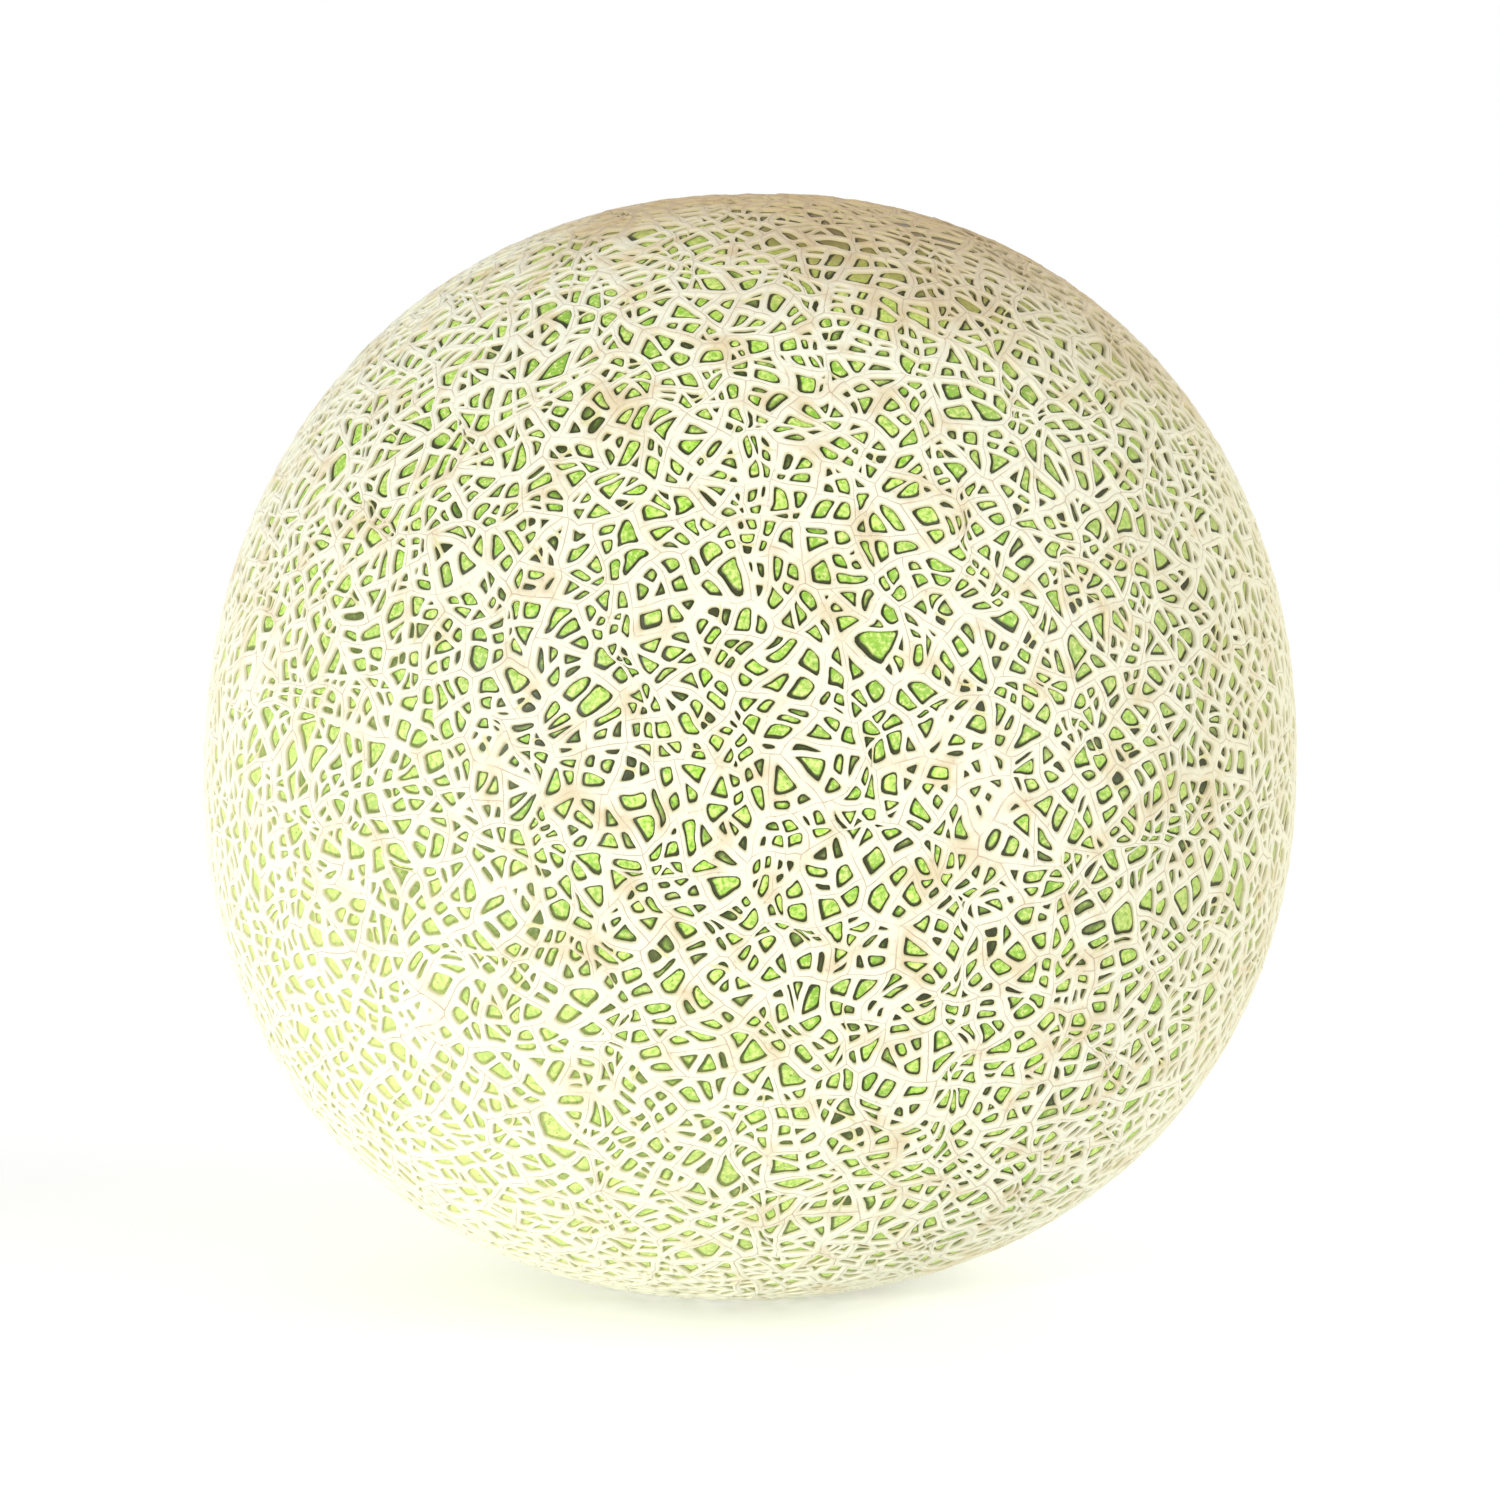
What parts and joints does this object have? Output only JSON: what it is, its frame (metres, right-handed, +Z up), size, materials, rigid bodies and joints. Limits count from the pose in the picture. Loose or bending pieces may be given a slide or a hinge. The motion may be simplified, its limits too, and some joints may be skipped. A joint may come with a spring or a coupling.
{
  "type": "cantaloupe melon",
  "caption": "Whole round melon with a densely netted cork rind over green skin, a dished stem scar on top and a small flat spot to rest on.",
  "frame": {"origin": "on the flat spot that the melon rests on, at the bottom centre of its bounding box", "axes": "+Z up along the stem axis, from the flat spot to the stem scar; -Y faces the front of the fruit; +X to its right"},
  "size_m": [0.1592, 0.1576, 0.1591],
  "materials": {
    "netted_rind": "matt corky net, cream to tan, over satin green skin"
  },
  "bodies": {
    "root": {"melon": "netted_rind"}
  },
  "joints": []
}
